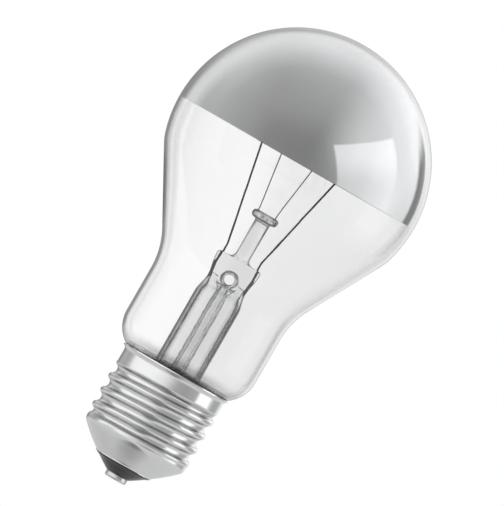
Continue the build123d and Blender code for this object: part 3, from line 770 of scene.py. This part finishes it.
def room_in_mirror(s, around):
    """What the globe's mirror shows: a grey room with a tall window at the right, which leans as the lamp does."""
    horizon = s.ramp(around, (0.0, 0.3), (0.078, 0.28), (0.11, 0.72), (0.144, 0.74), (0.19, 0.46), (0.253, 0.4),
                     (0.333, 0.32), (0.369, 0.28), (0.403, 0.22), (0.467, 0.21), (0.5, 0.23), (0.564, 0.3),
                     (0.62, 0.4), (0.72, 0.8), (0.78, 0.92), (0.87, 0.9), (0.958, 0.9), (1.0, 0.3))
    back = s.math("ADD", s.math("MULTIPLY", s.y, 0.5), 0.5)
    upper = s.ramp(back, (0.0, 0.21), (0.16, 0.35), (0.25, 0.4), (0.36, 0.44), (0.5, 0.5), (0.64, 0.66),
                   (0.81, 0.88), (0.93, 0.93), (0.975, 0.4), (1.0, 0.35))
    upper = s.math("ADD", upper, s.math("MULTIPLY", s.step(s.x, 0.0, 0.7), 0.33))
    upper = s.math("SUBTRACT", upper, s.math("MULTIPLY", s.step(s.x, 0.0, -0.8), 0.09))
    behind_right = s.math("MULTIPLY", s.step(back, 0.7, 0.9), s.step(s.x, -0.1, 0.3))
    upper = s.math("ADD", upper, s.math("MULTIPLY", behind_right, 0.14))
    level = s.mixed(s.step(s.z, 0.0, 0.6), horizon, upper)
    sideways = s.math("ADD", s.math("MULTIPLY", s.x, LEAN_COS), s.math("MULTIPLY", s.z, LEAN_SIN))
    along = s.math("SUBTRACT", s.math("MULTIPLY", s.z, LEAN_COS), s.math("MULTIPLY", s.x, LEAN_SIN))
    leant = s.math("ARCTAN2", sideways, s.math("MULTIPLY", s.y, -1.0))
    leant = s.math("ADD", s.math("DIVIDE", leant, 2 * math.pi), 0.5)
    leant = s.math("ADD", leant, s.math("MULTIPLY", along, 0.018))
    window = s.math("MULTIPLY", s.step(leant, 0.592, 0.600), s.step(leant, 0.775, 0.765))
    window = s.math("MULTIPLY", window, s.step(along, 0.26, 0.225))
    bright = s.ramp(leant, (0.59, 0.72), (0.67, 0.85), (0.75, 1.0), (0.87, 1.0))
    bright = s.math("ADD", bright, s.math("MULTIPLY", s.step(along, -0.33, 0.1), 0.19))
    level = s.mixed(window, level, bright)
    post = s.math("MULTIPLY", s.step(leant, 0.856, 0.874), s.step(leant, 0.914, 0.904))
    post = s.math("MULTIPLY", post, s.step(s.z, 0.5, 0.3))
    return s.mixed(post, level, 0.22)


def room_in_cap(s, around):
    """What the cap and the glass's outer face show: a broad window at the left, a narrow one at the right."""
    level = s.ramp(around, (0.0, 0.5), (0.035, 0.22), (0.07, 0.3), (0.116, 0.45), (0.173, 0.40), (0.205, 0.52),
                   (0.235, 0.92), (0.286, 1.0), (0.40, 0.98), (0.45, 0.88), (0.475, 0.79), (0.5, 0.65),
                   (0.525, 0.49), (0.55, 0.39), (0.6, 0.355), (0.655, 0.41), (0.675, 0.45), (0.695, 1.15),
                   (0.775, 1.15), (0.80, 0.6), (0.827, 0.41), (0.884, 0.43), (0.93, 0.85), (0.965, 0.85), (1.0, 0.5))
    above = s.math("MULTIPLY", s.step(s.y, 0.6, 0.9), s.step(s.z, 0.04, 0.3))
    return s.math("ADD", s.mixed(s.step(s.z, 0.45, 0.85), level, 0.4), s.math("MULTIPLY", above, 0.38))


def studio():
    """Lights the scene and fills the reflections."""
    s = Studio()
    azimuth = s.math("ARCTAN2", s.x, s.math("MULTIPLY", s.y, -1.0))
    around = s.math("ADD", s.math("DIVIDE", azimuth, 2 * math.pi), 0.5)
    straight, diffuse, past_glass = s.light_path()
    level = s.mixed(past_glass, room_in_cap(s, around), room_in_mirror(s, around))
    level = s.mixed(straight, level, 1.0)
    level = s.mixed(diffuse, level, 0.8)
    s.tree.links.new(level, s.background.inputs["Color"])


def floor():
    """A pale floor some way under the lamp, which catches its shadow and, in reflections only, shows a painted
    shadow in front of and under it.
    """
    rings = [[(0, 0, FLOOR_Z)]] + [ring(r, FLOOR_Z, 96) for r in (40, 80, 120, 170, 240, 330, 450, 600)]
    obj = make_object("floor", skin(rings))
    material = bpy.data.materials.new("floor")
    material.use_nodes = True
    nodes = Nodes(material.node_tree)
    nodes.tree.nodes.remove(nodes.tree.nodes["Principled BSDF"])
    straight, diffuse, _ = nodes.light_path()
    place = nodes.node("ShaderNodeTexCoord").outputs["Object"]

    # Painted shadow: reflected rays see the floor darker in a spot drawn out from under the lamp towards the front;
    # straight rays see it white.
    drawn_out = nodes.node("ShaderNodeMapping", place)
    drawn_out.inputs["Scale"].default_value = (1, 0.35, 1)
    off_spot = nodes.node("ShaderNodeVectorMath", drawn_out.outputs[0], (0, -0.016, -0.03), operation="DISTANCE")
    painted_shadow = nodes.step(off_spot.outputs["Value"], 0.004, 0.026, 0.26, 0.70)
    matt = nodes.node("ShaderNodeBsdfDiffuse", nodes.math("MAXIMUM", straight, painted_shadow)).outputs[0]

    white = nodes.node("ShaderNodeEmission").outputs[0]
    seen = nodes.math("MULTIPLY", straight, 0.72)
    unlit = nodes.node("ShaderNodeMath", seen, diffuse, operation="SUBTRACT", use_clamp=True).outputs[0]
    shade = nodes.node("ShaderNodeMixShader", unlit, matt, white).outputs[0]

    clear = nodes.node("ShaderNodeBsdfTransparent").outputs[0]
    off_middle = nodes.node("ShaderNodeVectorMath", place, operation="LENGTH").outputs["Value"]
    faded = nodes.node("ShaderNodeMixShader", nodes.step(off_middle, 0.12, 0.5), shade, clear).outputs[0]
    nodes.tree.links.new(faded, nodes.tree.nodes["Material Output"].inputs["Surface"])
    obj.data.materials.append(material)


def lamp(name, place, target, width, height, power):
    """A soft box that only lights: it isn't seen, mirrored or refracted."""
    data = bpy.data.lights.new(name, "AREA")
    data.shape = "RECTANGLE"
    data.size, data.size_y = width, height
    data.energy = power
    obj = bpy.data.objects.new(name, data)
    scene.collection.objects.link(obj)
    obj.location = place
    obj.rotation_mode = "QUATERNION"
    obj.rotation_quaternion = (Vector(target) - Vector(place)).to_track_quat("-Z", "Y")
    obj.visible_camera = False
    obj.visible_glossy = False
    obj.visible_transmission = False


def camera():
    """The photograph's view: from far off and nearly level, rolled so that the lamp leans to the right."""
    data = bpy.data.cameras.new("camera")
    data.sensor_width = 36
    data.lens = LENS
    data.clip_start, data.clip_end = 0.1, 50
    obj = bpy.data.objects.new("camera", data)
    scene.collection.objects.link(obj)
    place, target = Vector((VIEW_X, -EYE_DISTANCE, EYE_Z)) * MM, Vector((VIEW_X, 0, VIEW_Z)) * MM
    forward = (target - place).normalized()
    lean = math.radians(LEAN)
    right = Vector((math.cos(lean), 0, math.sin(lean)))
    right = (right - forward * right.dot(forward)).normalized()
    up = right.cross(forward)
    turn = Matrix((right, up, -forward)).transposed()
    obj.matrix_world = Matrix.Translation(place) @ turn.to_4x4()
    scene.camera = obj


studio()
floor()
lamp("lamp_top", (0.3, -0.3, 1.1), (0, 0, 0.05), 0.8, 0.8, 2.0)
camera()
scene.view_settings.view_transform = "Standard"
scene.cycles.max_bounces = 24
scene.cycles.glossy_bounces = 10
scene.cycles.transmission_bounces = 20
